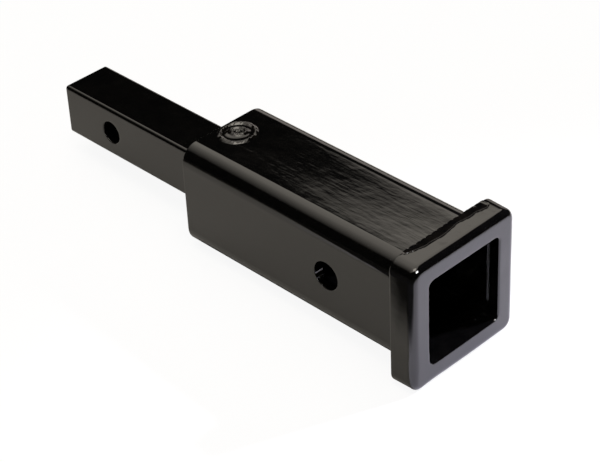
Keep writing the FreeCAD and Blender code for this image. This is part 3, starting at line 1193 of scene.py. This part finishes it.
@dataclass
class Studio:
    """The white floor and surround, the lamps and the camera.

    The paint mirrors the floor as a white sheet with painted shade round it: a dark grey
    that only glossy rays see, far from the object and on the camera's side. The sheet ends,
    and the painted shade begins, past both sheet_end and sheet_front, and past sheet_reach.
    """

    camera_place: Triple = (0.58263, -0.59648, 0.60894)
    camera_target: Triple = (-0.02895, -0.02114, 0.00925)
    camera_roll: float = math.radians(2.965)
    camera_lens: float = 117.31
    camera_sensor: float = 36.0
    ceiling: float = 3.0
    ceiling_turn: float = math.radians(135)
    ceiling_back_edges: Pair = (34.3, 37.0)
    ceiling_left_edges: Pair = (41.0, 68.0)
    ceiling_camera_edge: float = 65.0
    ceiling_right_edge: float = 66.0
    ceiling_layers: int = 8
    ceiling_gap: float = 0.02
    ceiling_radiance: float = 0.9
    sheet_way: Triple = (0.8, -1.0, 0.0)
    sheet_end: Pair = (0.091, 0.106)
    sheet_front: Pair = (0.065, 0.1)
    sheet_reach: Pair = (0.25, 0.5)
    floor_reach: float = 3.0
    floor_white: float = 0.82
    # Painted shade: the dark grey that glossy rays see on the floor past the white sheet
    room_grey: float = 0.05
    floor_glow: float = 1.15
    shadow_share: float = 0.2
    surround_glow: float = 0.004

    def build(self) -> None:
        """Builds the whole studio."""
        self.set_camera()
        self.lay_floor()
        self.paint_surround()
        self.hang_ceiling()
        for lamp in (
            Softbox(
                "side_box", place=(0.67, 1.54, 1.12), aim=(0.11, 0.03, -0.04), width=0.12,
                height=0.12, radiance=6.5, colour=(0.8, 0.79, 1.0), spread=0.2,
                mirrored=False,
            ),
            Softbox(
                "back_box", place=(-1.43, 2.64, 0.55), aim=(0, 0, 0.4), width=2.3,
                height=1.1, radiance=0.5, colour=(1.0, 0.9, 0.82),
            ),
            Softbox(
                "top_box", place=(0.3, -0.3, 2.6), aim=(0, 0, 0), width=1.2, height=1.2,
                radiance=2.4, colour=WARM_WHITE,
            ),
            Softbox(
                "corner_box", place=(1.05, -0.03, 0.89), aim=(0.066, -0.034, 0.037),
                width=0.42, height=0.42, radiance=26.0, lighting=False,
            ),
        ):
            lamp.build()

    def hang_ceiling(self) -> None:
        """Hangs the large lamp in layers, so that its back and left edges are soft.

        Each edge is placed by the height, in degrees, at which the object sees it. The
        layers hang a little apart, because of lamps in one plane only one is mirrored.
        """
        turn = Matrix.Rotation(self.ceiling_turn, 3, "Z")
        for layer in range(self.ceiling_layers):
            share = layer / (self.ceiling_layers - 1)
            height = self.ceiling + self.ceiling_gap * layer
            back, left = (
                start + (end - start) * share
                for start, end in (self.ceiling_back_edges, self.ceiling_left_edges)
            )
            ahead, beside, behind, other = (
                height / math.tan(math.radians(edge))
                for edge in (back, left, self.ceiling_camera_edge, self.ceiling_right_edge)
            )
            middle = turn @ Vector(((ahead - behind) / 2, (beside - other) / 2, 0))
            Softbox(
                f"ceiling_box_{layer}", place=(middle.x, middle.y, height),
                aim=(middle.x, middle.y, 0), width=ahead + behind, height=beside + other,
                radiance=self.ceiling_radiance / self.ceiling_layers,
                turn=self.ceiling_turn, colour=WARM_WHITE,
            ).build()

    def set_camera(self) -> None:
        """Sets the camera at the photograph's place and angle."""
        scene = bpy.context.scene
        camera = bpy.data.cameras.new("camera")
        camera.lens = self.camera_lens
        camera.sensor_width = self.camera_sensor
        holder = placed("camera", camera)
        way = Vector(self.camera_target) - Vector(self.camera_place)
        level = way.to_track_quat("-Z", "Y").to_matrix().to_4x4()
        holder.matrix_world = (
            Matrix.Translation(self.camera_place)
            @ level
            @ Matrix.Rotation(-self.camera_roll, 4, "Z")
        )
        scene.camera = holder
        scene.view_settings.view_transform = "Standard"

    def lay_floor(self) -> None:
        """Lays the floor through the two places where the object rests on it."""
        collar_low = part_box("mouth_collar")[0]
        plug_low, plug_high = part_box("plug_weld_bottom")
        rear = (plug_low.x + plug_high.x) / 2
        slope = math.atan2(plug_low.z - collar_low.z, collar_low.x - rear)
        bm = bmesh.new()
        place = (
            Matrix.Translation((collar_low.x, 0, collar_low.z))
            @ Matrix.Rotation(slope, 4, "Y")
        )
        bmesh.ops.create_grid(
            bm, x_segments=1, y_segments=1, size=self.floor_reach, matrix=place
        )
        mesh = bpy.data.meshes.new("floor")
        bm.to_mesh(mesh)
        bm.free()
        floor = placed("floor", mesh)
        mesh.materials.append(self.floor_material())

    def floor_material(self) -> Material:
        """A matt white that reads as white and keeps a soft shadow. To glossy rays it shows
        painted shade, a dark grey, far from the object and on the camera's side.

        Returns:
            The material.
        """
        material = bpy.data.materials.new("white_floor")
        material.use_nodes = True
        bench = NodeBench(material.node_tree)
        matt = bench.add("BsdfDiffuse", color=grey(self.floor_white))
        painted_shade_bsdf = bench.add("BsdfDiffuse", color=grey(self.room_grey))
        white = bench.add("Emission", color=grey(1.0), strength=self.floor_glow)
        path = bench.add("LightPath")
        place = bench.add("TexCoord").outputs["Object"]

        def past(span: Pair, kind: str, *way: Triple) -> Socket:
            """How far past a span the place lies by one measure, from 0 to 1."""
            measure = bench.fill(bench.add("VectorMath", operation=kind), place, *way)
            return bench.add(
                "MapRange", interpolation_type="SMOOTHSTEP", value=measure.outputs["Value"],
                from_min=span[0], from_max=span[1],
            ).outputs["Result"]

        def joined(kind: str, *values: object) -> Socket:
            """Two values joined by one step of arithmetic."""
            return bench.fill(bench.add("Math", operation=kind), *values).outputs[0]

        # Painted shade for reflections: to glossy rays the floor goes dark grey on the
        # camera's side and far from the object
        beside = joined(
            "MINIMUM", past(self.sheet_end, "DOT_PRODUCT", self.sheet_way),
            past(self.sheet_front, "DOT_PRODUCT", (0.0, -1.0, 0.0)),
        )
        off = joined("MAXIMUM", beside, past(self.sheet_reach, "LENGTH"))
        painted_shade_mask = joined("MULTIPLY", path.outputs["Is Glossy Ray"], off)
        sheet = self.mixed(bench, painted_shade_mask, matt, painted_shade_bsdf)
        share = joined("MULTIPLY", path.outputs["Is Camera Ray"], 1 - self.shadow_share)
        seen = self.mixed(bench, share, sheet, white)
        clear = bench.add("BsdfTransparent")
        under = bench.add("NewGeometry").outputs["Backfacing"]
        whole = self.mixed(bench, under, seen, clear)
        bench.add("OutputMaterial", surface=whole.outputs[0])
        return material

    @staticmethod
    def mixed(bench: NodeBench, share: Socket, first: Node, second: Node) -> Node:
        """Mixes two shaders.

        Args:
            bench: the material's nodes.
            share: how much of the second is shown.
            first: the first shader.
            second: the second shader.

        Returns:
            The mixing node.
        """
        return bench.fill(
            bench.add("MixShader"), share, first.outputs[0], second.outputs[0]
        )

    def paint_surround(self) -> None:
        """Makes the surround white to the camera and dim to the object."""
        world = bpy.data.worlds.new("surround")
        bpy.context.scene.world = world
        world.use_nodes = True
        bench = NodeBench(world.node_tree)
        dim = bench.add("Background", color=grey(1.0), strength=self.surround_glow)
        white = bench.add("Background", color=grey(1.0), strength=1.0)
        path = bench.add("LightPath")
        whole = self.mixed(bench, path.outputs["Is Camera Ray"], dim, white)
        bench.add("OutputWorld", surface=whole.outputs[0])


def main() -> None:
    """Builds the studio and every piece."""
    logging.basicConfig(level=logging.INFO, format="%(name)s: %(message)s")
    noise.seed_set(WOBBLE_SEED)
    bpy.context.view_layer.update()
    Studio().build()
    bar = BAR_PAINT.material()
    weld = WELD_PAINT.material()
    line = CollarWeldLine()
    Shank().build(bar)
    ReceiverTube().build(TUBE_PAINT.material())
    Collar(line).build(COLLAR_PAINT.material())
    Spacers().dress(bar)
    CollarWelds(line).build(weld)
    ShankWelds().build(weld)
    for side in (Side.TOP, Side.BOTTOM):
        PlugWeld(side).build(weld)


if __name__ == "__main__":
    main()
